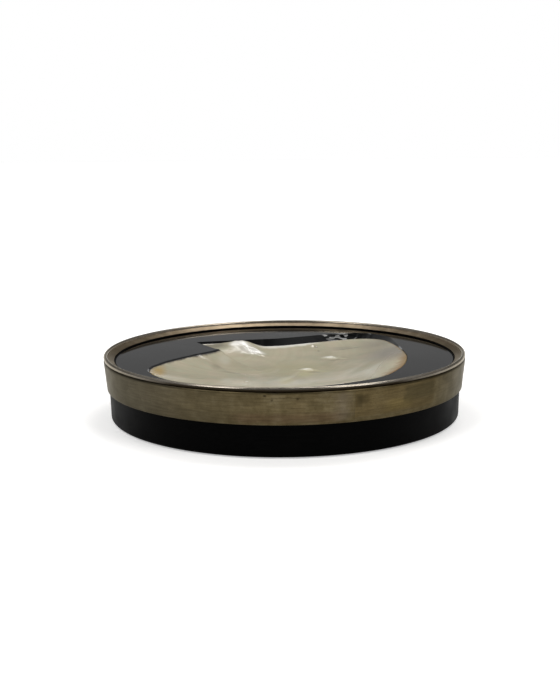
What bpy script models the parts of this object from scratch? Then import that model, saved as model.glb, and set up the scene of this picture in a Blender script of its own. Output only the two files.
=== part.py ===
"""A round trinket tray with a pearl oyster shell let into its top.

The tray is a low drum. A turned plinth carries an upper board, and the board has a
hole of the shell's outline sawn through it. The shell lies hollow side up in that
hole on a bed of filler, and black resin is poured round it up to its margin. Where
the margin dips at the back, the resin slopes down to it. A tapered metal band, turned
inwards at its top, wraps the upper board. A moulded rim ring lies on the board and on
the band's turned edge, with its bead flush with the band.

Metres, +Z up. The origin is the middle of the underside, and the front is at -Y.
"""
import math

import bmesh
import bpy
from mathutils import Vector

# Clearance left between pieces that touch or are glued
GAP = 0.0003

# Shell, hollow side up, its hinge at the back and its front margin close to the rim
SHELL_WIDTH = 0.1396
SHELL_BELLY_THICKNESS = 0.0030
SHELL_EDGE_THICKNESS = 0.0018
SHELL_EDGE_ROUND = 0.0004
BOWL_DEPTH = 0.0095
BOWL_FULLNESS = 2.4
BOWL_CENTRE = Vector((-0.002, -0.008))
BACK_DROP = 0.0038

# Callus: the thick knob of nacre by the hinge
CALLUS_PLACE = Vector((-0.0255, 0.0410))
CALLUS_HEIGHT = 0.0022
CALLUS_REACH = 0.0080

# Margin of the measured valve in millimetres, clockwise from above: x, y and the share
# of the back drop that it takes there. It has two corners, the beak and the notch.
BEAK = (-51.2, 42.4, 0.0)
NOTCH = (-37.4, 19.6, 0.0)
MARGIN_FROM_BEAK_TO_NOTCH = (
    BEAK,
    (-31.0, 46.2, 0.05),
    (-22.5, 47.6, 0.15),
    (-13.0, 46.8, 0.98),
    (0.0, 49.5, 1.00),
    (21.0, 59.0, 0.95),
    (38.0, 65.6, 0.87),
    (51.0, 65.4, 0.73),
    (61.2, 56.0, 0.54),
    (65.8, 33.0, 0.18),
    (68.2, 12.0, 0.03),
    (68.2, -10.0, 0.0),
    (61.5, -37.7, 0.0),
    (45.9, -63.1, 0.0),
    (12.0, -81.5, 0.0),
    (-22.0, -82.0, 0.0),
    (-55.0, -65.5, 0.0),
    (-71.4, -39.2, 0.0),
    (-65.9, -17.2, 0.0),
    (-54.0, -0.2, 0.0),
    (-42.5, 12.7, 0.0),
    NOTCH,
)

# Filler under the shell, and the resin round it
BED_LEAST = 0.0012
RESIN_BORDER = 0.0085
RESIN_BELOW_DROP = 0.0012
RESIN_WALL_RUN = 1.0

# Rim: a low black lip shows between the resin and the metal ring. The ring's bead is
# round from the rebate at its underside to an angle on its inner side, in degrees.
LIP_RISE = 0.0005
RING_SETBACK = 0.00065
RING_TONGUE_WIDTH = 0.00365
RING_HEIGHT = 0.0031
RING_BEAD_RADIUS = 0.0012
RING_BEAD_END = 195
RING_BEAD_STEPS = 8
RING_EDGE = 0.0002

# Band: sheet metal, tapered towards its foot, with its top edge turned inwards
BAND_TURNED_WIDTH = 0.0017
BAND_THICKNESS = 0.0010
BAND_BEND_RADIUS = 0.0004
BAND_EDGE_ROUND = 0.0002
BAND_TAPER = 0.0015
BAND_OVERLAP = 0.0004
SEAM_DIRECTION = math.radians(-70.4)

# Strip that is soldered behind the band's seam, measured along the band
STRIP_BEFORE_SEAM = 0.0080
STRIP_PAST_SEAM = 0.0520
STRIP_HEIGHT = 0.0122
STRIP_THICKNESS = 0.0006

# Plinth, and the felt let into its underside
PLINTH_HEIGHT = 0.0168
PLINTH_TAPER = 0.0004
PLINTH_FOOT_ROUND = 0.0015
FELT_THICKNESS = 0.0013
FELT_PROUD = 0.0005
FELT_MARGIN = 0.0060

# Facets
ROUND_SEGMENTS = 96
CORNER_STEPS = 3
MARGIN_SAMPLES = 78
NOTCH_SAMPLES = 6
BOWL_RINGS = 8
BED_RINGS = 6
CURVE_STEPS = 32
SHARP_ANGLE = math.radians(32)
CUT_PAST = 0.0010


def curve_through(controls):
    """Fine points along a smooth curve through the controls, which keeps its ends."""
    points = [Vector(control) for control in controls]
    points.insert(0, 2 * points[0] - points[1])
    points.append(2 * points[-1] - points[-2])
    fine = []
    for before, start, end, after in zip(points, points[1:], points[2:], points[3:]):
        for step in range(CURVE_STEPS):
            t = step / CURVE_STEPS
            linear = (end - before) * t
            square = (2 * before - 5 * start + 4 * end - after) * t ** 2
            cubic = (3 * start - before - 3 * end + after) * t ** 3
            fine.append(0.5 * (2 * start + linear + square + cubic))
    fine.append(points[-2])
    return fine


def spaced_points(fine, count):
    """The given count of evenly spaced points along a fine line, leaving out its end."""
    lengths = [0.0]
    for one, other in zip(fine, fine[1:]):
        lengths.append(lengths[-1] + (other - one).length)
    chosen = []
    place = 0
    for index in range(count):
        target = lengths[-1] * index / count
        while lengths[place + 1] <= target:
            place += 1
        share = (target - lengths[place]) / (lengths[place + 1] - lengths[place])
        chosen.append(fine[place].lerp(fine[place + 1], share))
    return chosen


def shell_margin():
    """Points of the margin, counter-clockwise, and how far each lies below the field."""
    samples = spaced_points(curve_through(MARGIN_FROM_BEAK_TO_NOTCH), MARGIN_SAMPLES)
    samples += spaced_points([Vector(NOTCH), Vector(BEAK)], NOTCH_SAMPLES)
    samples.reverse()
    measured_width = max(sample.x for sample in samples) - min(sample.x for sample in samples)
    points = [sample.xy * SHELL_WIDTH / measured_width for sample in samples]
    drops = [max(sample.z, 0.0) * BACK_DROP for sample in samples]
    return points, drops


MARGIN, DROPS = shell_margin()

# Radii, from the shell outwards
RESIN_RADIUS = max(point.length for point in MARGIN) + RESIN_BORDER
LIP_RADIUS = RESIN_RADIUS + GAP
RING_INNER_RADIUS = LIP_RADIUS + RING_SETBACK
RING_TONGUE_RADIUS = RING_INNER_RADIUS + RING_TONGUE_WIDTH
TURNED_EDGE_RADIUS = RING_TONGUE_RADIUS + GAP
BAND_TOP_RADIUS = TURNED_EDGE_RADIUS + BAND_TURNED_WIDTH
BAND_SHOULDER_RADIUS = BAND_BEND_RADIUS + BAND_THICKNESS
BEND_CENTRE_RADIUS = BAND_TOP_RADIUS - BAND_SHOULDER_RADIUS
BAND_FOOT_RADIUS = BAND_TOP_RADIUS - BAND_TAPER
PLINTH_TOP_RADIUS = BAND_FOOT_RADIUS - BAND_THICKNESS - GAP
PLINTH_FOOT_RADIUS = PLINTH_TOP_RADIUS - PLINTH_TAPER
FELT_RADIUS = PLINTH_FOOT_RADIUS - FELT_MARGIN

# Levels, from the table upwards
PLINTH_TOP = FELT_PROUD + PLINTH_HEIGHT
BAND_FOOT = PLINTH_TOP - BAND_OVERLAP
BOARD_BOTTOM = PLINTH_TOP + GAP
FIELD_LEVEL = BOARD_BOTTOM + BED_LEAST + GAP + SHELL_BELLY_THICKNESS + BOWL_DEPTH
RESIN_BOTTOM = FIELD_LEVEL - BACK_DROP - RESIN_BELOW_DROP
SHELF_LEVEL = RESIN_BOTTOM - GAP
LIP_TOP = FIELD_LEVEL + LIP_RISE
RING_BOTTOM = LIP_TOP + GAP
RING_TOP = RING_BOTTOM + RING_HEIGHT
BAND_TOP = RING_BOTTOM + BAND_THICKNESS
REBATE_LEVEL = BAND_TOP + GAP
SHOULDER_LEVEL = BAND_TOP - BAND_SHOULDER_RADIUS
STRIP_TOP = SHOULDER_LEVEL - 2 * GAP


def band_radius(level):
    """Outer radius of the tapered band at a level."""
    share = (level - BAND_FOOT) / (SHOULDER_LEVEL - BAND_FOOT)
    return BAND_FOOT_RADIUS + BAND_TAPER * min(share, 1.0)


def clear_scene():
    for item in list(bpy.data.objects):
        bpy.data.objects.remove(item, do_unlink=True)


def principled(name, colour, roughness, metallic=0.0):
    """A material of one colour."""
    material = bpy.data.materials.new(name)
    material.use_nodes = True
    shader = material.node_tree.nodes["Principled BSDF"]
    shader.inputs["Base Color"].default_value = (*colour, 1.0)
    shader.inputs["Roughness"].default_value = roughness
    shader.inputs["Metallic"].default_value = metallic
    return material


def finish_object(name, mesh_data, material=None):
    """Put a bmesh into the scene as a named object with its faces pointing outwards."""
    bmesh.ops.recalc_face_normals(mesh_data, faces=mesh_data.faces)
    mesh = bpy.data.meshes.new(name)
    mesh_data.to_mesh(mesh)
    mesh_data.free()
    mesh.shade_smooth()
    mesh.set_sharp_from_angle(angle=SHARP_ANGLE)
    item = bpy.data.objects.new(name, mesh)
    bpy.context.collection.objects.link(item)
    if material:
        mesh.materials.append(material)
    return item


def turned(profile, is_loop, start=0.0, sweep=2 * math.pi):
    """Turn a profile of (radius, level) points round the axis and close what is open."""
    mesh_data = bmesh.new()
    direction = Vector((math.cos(start), math.sin(start)))
    verts = [mesh_data.verts.new((*(direction * radius), level)) for radius, level in profile]
    edges = [mesh_data.edges.new(pair) for pair in zip(verts, verts[1:])]
    if is_loop:
        edges.append(mesh_data.edges.new((verts[-1], verts[0])))
    is_full = sweep > 2 * math.pi - 0.00001
    steps = math.ceil(ROUND_SEGMENTS * sweep / (2 * math.pi))
    bmesh.ops.spin(mesh_data, geom=verts + edges, cent=(0, 0, 0), axis=(0, 0, 1),
                   angle=sweep, steps=steps, use_merge=is_full)
    bmesh.ops.holes_fill(mesh_data, edges=mesh_data.edges, sides=0)
    return mesh_data


def corner(centre_radius, centre_level, radius, start, end, steps=CORNER_STEPS):
    """Profile points of a rounded corner, from one angle to another in degrees."""
    points = []
    for step in range(steps + 1):
        angle = math.radians(start + (end - start) * step / steps)
        points.append((centre_radius + radius * math.cos(angle), centre_level + radius * math.sin(angle)))
    return points


def widened_margin(amounts):
    """The margin moved outwards, square to itself, by an amount at each of its points."""
    widened = []
    for index, point in enumerate(MARGIN):
        along = (MARGIN[(index + 1) % len(MARGIN)] - MARGIN[index - 1]).normalized()
        widened.append(point + Vector((along.y, -along.x)) * amounts[index])
    return widened


def lofted(rings, first_tip=None, last_tip=None):
    """Bridge rings of 3-D points, and close each end with a tip or with a flat face."""
    mesh_data = bmesh.new()
    loops = [[mesh_data.verts.new(point) for point in ring] for ring in rings]
    for lower, upper in zip(loops, loops[1:]):
        for index in range(len(lower)):
            after = (index + 1) % len(lower)
            mesh_data.faces.new((lower[index], lower[after], upper[after], upper[index]))
    for loop, tip in ((loops[0], first_tip), (loops[-1], last_tip)):
        if tip is None:
            mesh_data.faces.new(loop)
            continue
        tip_vert = mesh_data.verts.new(tip)
        for index in range(len(loop)):
            mesh_data.faces.new((loop[index], loop[(index + 1) % len(loop)], tip_vert))
    return mesh_data


def at_level(points, level):
    return [(*point, level) for point in points]


def cut(item, cutter):
    """Take a cutter's shape out of an object and keep the cutter as a wire guide."""
    cutter.hide_render = True
    cutter.display_type = "WIRE"
    modifier = item.modifiers.new("cut_" + cutter.name, "BOOLEAN")
    modifier.operation = "DIFFERENCE"
    modifier.object = cutter


def bowl_level(share, drop):
    """Level of the shell's hollow face, from its deepest place (0) to its margin (1)."""
    return FIELD_LEVEL - BOWL_DEPTH + (BOWL_DEPTH - drop) * share ** BOWL_FULLNESS


def shell_thickness(share):
    return SHELL_BELLY_THICKNESS + (SHELL_EDGE_THICKNESS - SHELL_BELLY_THICKNESS) * share ** 2


def callus_rise(point):
    """Height of the knob by the hinge above the plain hollow face."""
    return CALLUS_HEIGHT * math.exp(-((point - CALLUS_PLACE).length / CALLUS_REACH) ** 2)


def bowl_ring(share, outline):
    """Flat points of one ring of the bowl, drawn in from an outline to the centre."""
    return [BOWL_CENTRE.lerp(point, share) for point in outline]


def hollow_ring(share, outline):
    """One ring of the hollow face, with the callus on it."""
    flat = bowl_ring(share, outline)
    return [(*point, bowl_level(share, drop) + callus_rise(point)) for point, drop in zip(flat, DROPS)]


def back_ring(share, outline, clearance):
    """One ring at or under the shell's outer face."""
    flat = bowl_ring(share, outline)
    depth = shell_thickness(share) + clearance
    return [(*point, bowl_level(share, drop) - depth) for point, drop in zip(flat, DROPS)]


def make_shell():
    """The valve: a lofted bowl of nacre, thin at its rounded margin."""
    inner = widened_margin([-SHELL_EDGE_ROUND] * len(MARGIN))
    rings = [hollow_ring(step / BOWL_RINGS, inner) for step in range(1, BOWL_RINGS + 1)]
    middle = SHELL_EDGE_THICKNESS / 2
    rings.append([(*point, FIELD_LEVEL - drop - middle) for point, drop in zip(MARGIN, DROPS)])
    rings += [back_ring(step / BED_RINGS, inner, 0.0) for step in range(BED_RINGS, 0, -1)]
    deepest = bowl_level(0.0, 0.0)
    tip = (*BOWL_CENTRE, deepest)
    back_tip = (*BOWL_CENTRE, deepest - shell_thickness(0.0))
    nacre = principled("mother_of_pearl", (0.47, 0.43, 0.33), 0.25)
    return finish_object("shell", lofted(rings, tip, back_tip), nacre)


def make_shell_bed():
    """Filler that was spread in the board's hole and took the shell's outer face."""
    rings = [back_ring(step / BED_RINGS, MARGIN, GAP) for step in range(1, BED_RINGS + 1)]
    rings.append(at_level(MARGIN, BOARD_BOTTOM))
    tip = (*BOWL_CENTRE, BOARD_BOTTOM + BED_LEAST)
    filler = principled("filler", (0.42, 0.38, 0.30), 0.9)
    return finish_object("shell_bed", lofted(rings, tip), filler)


def make_resin_field():
    """Poured black resin, level all round, and sloped down to the margin at the back."""
    profile = [(RESIN_RADIUS, FIELD_LEVEL), (RESIN_RADIUS, RESIN_BOTTOM)]
    resin = principled("black_resin", (0.004, 0.004, 0.005), 0.06)
    field = finish_object("resin_field", turned(profile, False), resin)
    beside_shell = widened_margin([GAP] * len(MARGIN))
    edge = widened_margin([GAP + drop * RESIN_WALL_RUN for drop in DROPS])
    foot_levels = [FIELD_LEVEL - drop - SHELL_EDGE_ROUND for drop in DROPS]
    slope_foot = [(*point, level) for point, level in zip(beside_shell, foot_levels)]
    rings = [
        at_level(beside_shell, RESIN_BOTTOM - CUT_PAST),
        slope_foot,
        at_level(edge, FIELD_LEVEL),
        at_level(edge, FIELD_LEVEL + CUT_PAST),
    ]
    cut(field, finish_object("resin_cutter", lofted(rings)))
    return field


def make_upper_board():
    """Turned board that carries the rim ring, with a sawn hole and a slot for the strip."""
    under_bend = corner(BEND_CENTRE_RADIUS, SHOULDER_LEVEL, BAND_BEND_RADIUS - GAP, 90, 0)
    profile = [
        (LIP_RADIUS, SHELF_LEVEL),
        (LIP_RADIUS, LIP_TOP),
        *under_bend,
        (band_radius(BOARD_BOTTOM) - BAND_THICKNESS - GAP, BOARD_BOTTOM),
    ]
    wood = principled("ebonised_board", (0.012, 0.010, 0.009), 0.5)
    board = finish_object("upper_board", turned(profile, False), wood)
    hole = widened_margin([GAP] * len(MARGIN))
    rings = [at_level(hole, BOARD_BOTTOM - CUT_PAST), at_level(hole, SHELF_LEVEL + CUT_PAST)]
    cut(board, finish_object("hole_cutter", lofted(rings)))
    slot_depth = BAND_THICKNESS + STRIP_THICKNESS + 3 * GAP
    cut(board, finish_object("slot_cutter", strip_shape(-CUT_PAST, slot_depth, GAP)))
    return board


def strip_shape(outer_depth, inner_depth, clearance):
    """A length of the band's wall at the seam, between two depths below its outer face."""
    top = STRIP_TOP + clearance
    bottom = STRIP_TOP - STRIP_HEIGHT - clearance
    profile = [
        (band_radius(top) - outer_depth, top),
        (band_radius(bottom) - outer_depth, bottom),
        (band_radius(bottom) - inner_depth, bottom),
        (band_radius(top) - inner_depth, top),
    ]
    before = (STRIP_BEFORE_SEAM + clearance) / BAND_TOP_RADIUS
    past = (STRIP_PAST_SEAM + clearance) / BAND_TOP_RADIUS
    return turned(profile, True, SEAM_DIRECTION - before, before + past)


def make_seam_strip():
    """Thin brass strip behind the seam, soldered to both ends of the band."""
    outer_depth = BAND_THICKNESS + GAP
    brass = principled("brass_strip", (0.55, 0.40, 0.20), 0.4, 1.0)
    shape = strip_shape(outer_depth, outer_depth + STRIP_THICKNESS, 0.0)
    return finish_object("seam_strip", shape, brass)


def make_band():
    """The wrapped band: a tapered wall whose top edge is bent inwards."""
    outer_shoulder = corner(BEND_CENTRE_RADIUS, SHOULDER_LEVEL, BAND_SHOULDER_RADIUS, 0, 90)
    inner_bend = corner(BEND_CENTRE_RADIUS, SHOULDER_LEVEL, BAND_BEND_RADIUS, 90, 0)
    edge_radius = TURNED_EDGE_RADIUS + BAND_EDGE_ROUND
    turned_edge = corner(edge_radius, BAND_TOP - BAND_EDGE_ROUND, BAND_EDGE_ROUND, 90, 180)
    profile = [
        (BAND_FOOT_RADIUS - BAND_THICKNESS, BAND_FOOT),
        (BAND_FOOT_RADIUS - BAND_EDGE_ROUND, BAND_FOOT),
        (band_radius(BAND_FOOT + BAND_EDGE_ROUND), BAND_FOOT + BAND_EDGE_ROUND),
        *outer_shoulder,
        *turned_edge,
        (TURNED_EDGE_RADIUS, BAND_TOP - BAND_THICKNESS),
        *inner_bend,
    ]
    slit = GAP / BAND_TOP_RADIUS
    shape = turned(profile, True, SEAM_DIRECTION + slit / 2, 2 * math.pi - slit)
    metal = principled("silvered_brass", (0.34, 0.29, 0.21), 0.38, 1.0)
    return finish_object("band", shape, metal)


def make_rim_ring():
    """Moulded ring: a bead over the band's turned edge and a slope down to the field."""
    bead_centre = Vector((BAND_TOP_RADIUS - RING_BEAD_RADIUS, RING_TOP - RING_BEAD_RADIUS))
    bead_start = -math.degrees(math.asin((bead_centre.y - REBATE_LEVEL) / RING_BEAD_RADIUS))
    profile = [
        (RING_INNER_RADIUS, RING_BOTTOM),
        (RING_TONGUE_RADIUS, RING_BOTTOM),
        (RING_TONGUE_RADIUS, REBATE_LEVEL),
        *corner(*bead_centre, RING_BEAD_RADIUS, bead_start, RING_BEAD_END, RING_BEAD_STEPS),
        (RING_INNER_RADIUS, RING_BOTTOM + RING_EDGE),
    ]
    metal = principled("polished_rim", (0.44, 0.38, 0.30), 0.28, 1.0)
    return finish_object("rim_ring", turned(profile, True), metal)


def make_plinth():
    """Turned plinth with a rounded foot and a shallow recess for the felt."""
    foot_centre = (PLINTH_FOOT_RADIUS - PLINTH_FOOT_ROUND, FELT_PROUD + PLINTH_FOOT_ROUND)
    foot = corner(*foot_centre, PLINTH_FOOT_ROUND, 0, -90)
    recess_radius = FELT_RADIUS + GAP
    profile = [
        (PLINTH_TOP_RADIUS, PLINTH_TOP),
        *foot,
        (recess_radius, FELT_PROUD),
        (recess_radius, FELT_THICKNESS + GAP),
    ]
    wood = principled("ebonised_plinth", (0.008, 0.007, 0.007), 0.42)
    return finish_object("plinth", turned(profile, False), wood)


def make_felt_pad():
    """Felt disc that stands a little proud of the plinth and carries the tray."""
    profile = [(FELT_RADIUS, FELT_THICKNESS), (FELT_RADIUS, 0.0)]
    felt = principled("black_felt", (0.012, 0.012, 0.013), 1.0)
    return finish_object("felt_pad", turned(profile, False), felt)


clear_scene()
make_felt_pad()
make_plinth()
make_upper_board()
make_shell_bed()
make_shell()
make_resin_field()
make_seam_strip()
make_band()
make_rim_ring()
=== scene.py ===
import math

import bmesh
import bpy
import numpy as np
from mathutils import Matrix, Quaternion, Vector, noise


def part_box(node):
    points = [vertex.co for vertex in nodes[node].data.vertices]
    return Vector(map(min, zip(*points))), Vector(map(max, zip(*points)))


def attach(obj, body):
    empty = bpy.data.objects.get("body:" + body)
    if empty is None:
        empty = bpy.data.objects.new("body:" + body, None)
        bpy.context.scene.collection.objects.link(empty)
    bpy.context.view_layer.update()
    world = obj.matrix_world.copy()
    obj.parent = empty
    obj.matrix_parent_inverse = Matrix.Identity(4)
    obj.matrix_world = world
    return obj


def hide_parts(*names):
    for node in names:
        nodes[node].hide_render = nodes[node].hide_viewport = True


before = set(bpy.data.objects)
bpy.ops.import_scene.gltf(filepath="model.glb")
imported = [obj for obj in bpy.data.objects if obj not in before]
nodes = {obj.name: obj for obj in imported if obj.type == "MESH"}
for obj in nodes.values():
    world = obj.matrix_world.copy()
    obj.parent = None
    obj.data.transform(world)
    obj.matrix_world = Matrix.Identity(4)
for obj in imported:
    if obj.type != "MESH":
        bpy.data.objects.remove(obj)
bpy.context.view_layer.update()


# Felt pad: a disc of pressed black wool felt, let into the recess under the plinth.
# It is glued there and stands half a millimetre proud, so that the wood never
# touches the table. The CAD disc is right as it is and only gets its felt.

MM = 0.001


def colour(tone):
    """The linear colour of an sRGB hex value, or of a grey that is linear as it is."""
    if not isinstance(tone, str):
        return (tone, tone, tone, 1.0)
    channels = [int(tone[place:place + 2], 16) / 255 for place in (1, 3, 5)]
    linear = [value / 12.92 if value <= 0.04045 else ((value + 0.055) / 1.055) ** 2.4 for value in channels]
    return (*linear, 1.0)


def add_node(tree, kind, inputs=None, stops=None, **settings):
    """Add a node with its settings, its ramp's stops, and its inputs.

    An input is a value, a socket to link, or a node whose first output is linked.
    """
    node = tree.nodes.new(kind)
    for name, value in settings.items():
        setattr(node, name, value)
    for name, value in (inputs or {}).items():
        if isinstance(value, bpy.types.Node):
            value = value.outputs[0]
        if isinstance(value, bpy.types.NodeSocket):
            tree.links.new(value, node.inputs[name])
        else:
            node.inputs[name].default_value = value
    if stops:
        elements = node.color_ramp.elements
        stops = [(place, colour(tone)) for place, tone in stops]
        elements[0].position, elements[0].color = stops[0]
        elements[1].position, elements[1].color = stops[-1]
        for place, tone in stops[1:-1]:
            elements.new(place).color = tone
    return node


def new_material(name):
    """An empty material and its node tree."""
    material = bpy.data.materials.new(name)
    material.use_nodes = True
    material.node_tree.nodes.clear()
    return material, material.node_tree


def cover(item, material):
    """Give an object one material in place of those that it has."""
    item.data.materials.clear()
    item.data.materials.append(material)


# Pressed wool felt, dyed black: matt, with short tangled fibres that catch a little light,
# drawn coarser than they are so that they show.
FELT_FIBRE = 0.5 * MM
felt, tree = new_material("pressed_wool_felt")
place = add_node(tree, "ShaderNodeTexCoord").outputs["Object"]
fibres = add_node(
    tree, "ShaderNodeTexNoise",
    {"Vector": place, "Scale": 1 / FELT_FIBRE, "Detail": 6.0, "Distortion": 1.5},
)
fibre_colour = add_node(
    tree, "ShaderNodeValToRGB", {"Fac": fibres},
    stops=[(0.3, "#0B0B0C"), (0.75, "#232325")],
)
fibre_bump = add_node(tree, "ShaderNodeBump", {"Height": fibres, "Distance": 0.2 * MM, "Strength": 0.8})
shader = add_node(
    tree, "ShaderNodeBsdfPrincipled",
    {"Base Color": fibre_colour, "Roughness": 1.0, "Sheen Weight": 0.3,
     "Normal": fibre_bump},
)
add_node(tree, "ShaderNodeOutputMaterial", {"Surface": shader})
cover(nodes["felt_pad"], felt)


# Plinth: the turned lower board, ebonised and rubbed down to a dull satin.
# Its foot is rounded over and a shallow recess under it takes the felt. The upper
# board and the band sit on its top.

CORNER_STEPS = 6
WELD_DISTANCE = 0.002 * MM


def turning_tree():
    """Nodes that turn a flat profile round the upright axis into a closed piece."""
    tree = bpy.data.node_groups.new("turned_from_profile", "GeometryNodeTree")
    sockets = {}
    for name, kind in (
        ("Profile", "NodeSocketGeometry"),
        ("Path radius", "NodeSocketFloat"),
        ("Segments", "NodeSocketInt"),
        ("Corner steps", "NodeSocketInt"),
        ("Is full turn", "NodeSocketBool"),
        ("Start angle", "NodeSocketFloat"),
        ("Sweep angle", "NodeSocketFloat"),
        ("Material", "NodeSocketMaterial"),
    ):
        sockets[name] = tree.interface.new_socket(name, in_out="INPUT", socket_type=kind)
    tree.interface.new_socket("Piece", in_out="OUTPUT", socket_type="NodeSocketGeometry")
    given = add_node(tree, "NodeGroupInput").outputs
    line = add_node(tree, "GeometryNodeMeshToCurve", {"Mesh": given["Profile"]})
    rounding = add_node(tree, "GeometryNodeInputNamedAttribute", {"Name": "corner_radius"}, data_type="FLOAT")
    eased = add_node(
        tree, "GeometryNodeFilletCurve",
        {"Curve": line.outputs["Curve"], "Radius": rounding.outputs["Attribute"],
         "Limit Radius": True, "Count": given["Corner steps"]},
        mode="POLY",
    )
    inwards = add_node(tree, "ShaderNodeMath", {0: given["Path radius"], 1: -1.0}, operation="MULTIPLY")
    shift = add_node(tree, "ShaderNodeCombineXYZ", {"X": inwards.outputs[0]})
    section = add_node(
        tree, "GeometryNodeTransform",
        {"Geometry": eased.outputs["Curve"], "Translation": shift.outputs[0],
         "Rotation": (math.pi / 2, 0, 0)},
    )
    circle = add_node(
        tree, "GeometryNodeCurvePrimitiveCircle",
        {"Resolution": given["Segments"], "Radius": given["Path radius"]},
    )
    arc = add_node(
        tree, "GeometryNodeCurveArc",
        {"Resolution": given["Segments"], "Radius": given["Path radius"],
         "Start Angle": given["Start angle"], "Sweep Angle": given["Sweep angle"]},
    )
    path = add_node(
        tree, "GeometryNodeSwitch",
        {"Switch": given["Is full turn"], "False": arc.outputs["Curve"], "True": circle.outputs["Curve"]},
        input_type="GEOMETRY",
    )
    upright = add_node(tree, "GeometryNodeSetCurveNormal", {"Curve": path.outputs[0]}, mode="Z_UP")
    turned = add_node(
        tree, "GeometryNodeCurveToMesh",
        {"Curve": upright.outputs["Curve"], "Profile Curve": section.outputs["Geometry"], "Fill Caps": True},
    )
    merged = add_node(
        tree, "GeometryNodeMergeByDistance",
        {"Geometry": turned.outputs["Mesh"], "Distance": WELD_DISTANCE},
    )
    real = add_node(tree, "GeometryNodeRealizeInstances", {"Geometry": merged.outputs["Geometry"]})
    painted = add_node(
        tree, "GeometryNodeSetMaterial",
        {"Geometry": real.outputs["Geometry"], "Material": given["Material"]},
    )
    add_node(tree, "NodeGroupOutput", {"Piece": painted.outputs["Geometry"]})
    return tree, {name: socket.identifier for name, socket in sockets.items()}


TURNING, TURNING_INPUTS = turning_tree()
SHARP_ANGLE = math.radians(38)


def shade(mesh):
    """Turn the faces outwards and shade them smooth, except over sharp edges."""
    shape = bmesh.new()
    shape.from_mesh(mesh)
    bmesh.ops.recalc_face_normals(shape, faces=shape.faces)
    shape.to_mesh(mesh)
    shape.free()
    mesh.shade_smooth()
    mesh.set_sharp_from_angle(angle=SHARP_ANGLE)


def new_object(name, data):
    """A new object of the scene, made from a mesh, a lamp or a camera."""
    item = bpy.data.objects.new(name, data)
    bpy.context.collection.objects.link(item)
    return item


def give_values(mesh, name, values):
    """Store one number for each point of a mesh."""
    attribute = mesh.attributes.new(name, "FLOAT", "POINT")
    attribute.data.foreach_set("value", np.asarray(values, dtype=np.float32))


def turned_piece(name, profile, is_loop, segments, material, start=0.0, sweep=0.0):
    """Turn a profile of (radius, level, corner radius) and return the plain piece."""
    outline = bpy.data.meshes.new(name + "_profile")
    edges = [(index, index + 1) for index in range(len(profile) - 1)]
    if is_loop:
        edges.append((len(profile) - 1, 0))
    outline.from_pydata([(radius, 0.0, level) for radius, level, _ in profile], edges, [])
    give_values(outline, "corner_radius", [rounded for _, _, rounded in profile])
    blank = new_object(name + "_blank", outline)
    turning = blank.modifiers.new("turning", "NODES")
    turning.node_group = TURNING
    values = {
        "Path radius": max(radius for radius, _, _ in profile),
        "Segments": segments,
        "Corner steps": CORNER_STEPS,
        "Is full turn": sweep == 0.0,
        "Start angle": start,
        "Sweep angle": sweep,
        "Material": material,
    }
    for socket, value in values.items():
        turning[TURNING_INPUTS[socket]] = value
    evaluated = blank.evaluated_get(bpy.context.evaluated_depsgraph_get())
    mesh = bpy.data.meshes.new_from_object(evaluated)
    bpy.data.objects.remove(blank)
    mesh.name = name
    shade(mesh)
    return new_object(name, mesh)


# Ebonised hardwood, stained and waxed: almost black, with a faint straight grain and a
# dull satin, so that only its edges against the light look grey.
GRAIN_WIDTH = 0.7 * MM
GRAIN_STRETCH = 0.05
WAX_CLOUD = 14 * MM
ebonised, tree = new_material("waxed_ebonised_wood")
place = add_node(tree, "ShaderNodeTexCoord").outputs["Object"]
along_grain = add_node(tree, "ShaderNodeMapping", {"Vector": place, "Scale": (GRAIN_STRETCH, 1.0, 1.0)})
grain = add_node(
    tree, "ShaderNodeTexNoise",
    {"Vector": along_grain, "Scale": 1 / GRAIN_WIDTH, "Detail": 5.0, "Distortion": 0.3},
)
grain_colour = add_node(
    tree, "ShaderNodeValToRGB", {"Fac": grain},
    stops=[(0.35, "#010101"), (0.7, "#040404")],
)
wax = add_node(tree, "ShaderNodeTexNoise", {"Vector": place, "Scale": 1 / WAX_CLOUD, "Detail": 3.0})
wax_roughness = add_node(
    tree, "ShaderNodeMapRange",
    {"Value": wax, "From Min": 0.3, "From Max": 0.7, "To Min": 0.36, "To Max": 0.5},
)
grain_bump = add_node(tree, "ShaderNodeBump", {"Height": grain, "Distance": 0.03 * MM, "Strength": 0.5})
shader = add_node(
    tree, "ShaderNodeBsdfPrincipled",
    {"Base Color": grain_colour, "Roughness": wax_roughness, "IOR": 1.45,
     "Specular IOR Level": 0.02, "Normal": grain_bump},
)
add_node(tree, "ShaderNodeOutputMaterial", {"Surface": shader})

PLINTH_TAPER = 0.4 * MM
PLINTH_FOOT_ROUND = 1.5 * MM
PLINTH_EDGE = 0.2 * MM
PLINTH_SEGMENTS = 360
GLUE_GAP = 0.3 * MM
plinth_low, plinth_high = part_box("plinth")
_, felt_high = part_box("felt_pad")
recess_radius = felt_high.x + GLUE_GAP
recess_level = felt_high.z + GLUE_GAP
plinth = turned_piece(
    "plinth_turned",
    [
        (0.0, plinth_high.z, 0.0),
        (plinth_high.x, plinth_high.z, PLINTH_EDGE),
        (plinth_high.x - PLINTH_TAPER, plinth_low.z, PLINTH_FOOT_ROUND),
        (recess_radius, plinth_low.z, PLINTH_EDGE),
        (recess_radius, recess_level, PLINTH_EDGE),
        (0.0, recess_level, 0.0),
    ],
    False, PLINTH_SEGMENTS, ebonised,
)
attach(plinth, "root")
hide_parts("plinth")


# Upper board: the second turned board, glued on the plinth, of the same ebonised wood.
# The shell's outline is sawn through it, and its low lip shows as a thin black line
# between the resin and the metal. The CAD board is right as it is.

cover(nodes["upper_board"], ebonised)


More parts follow.
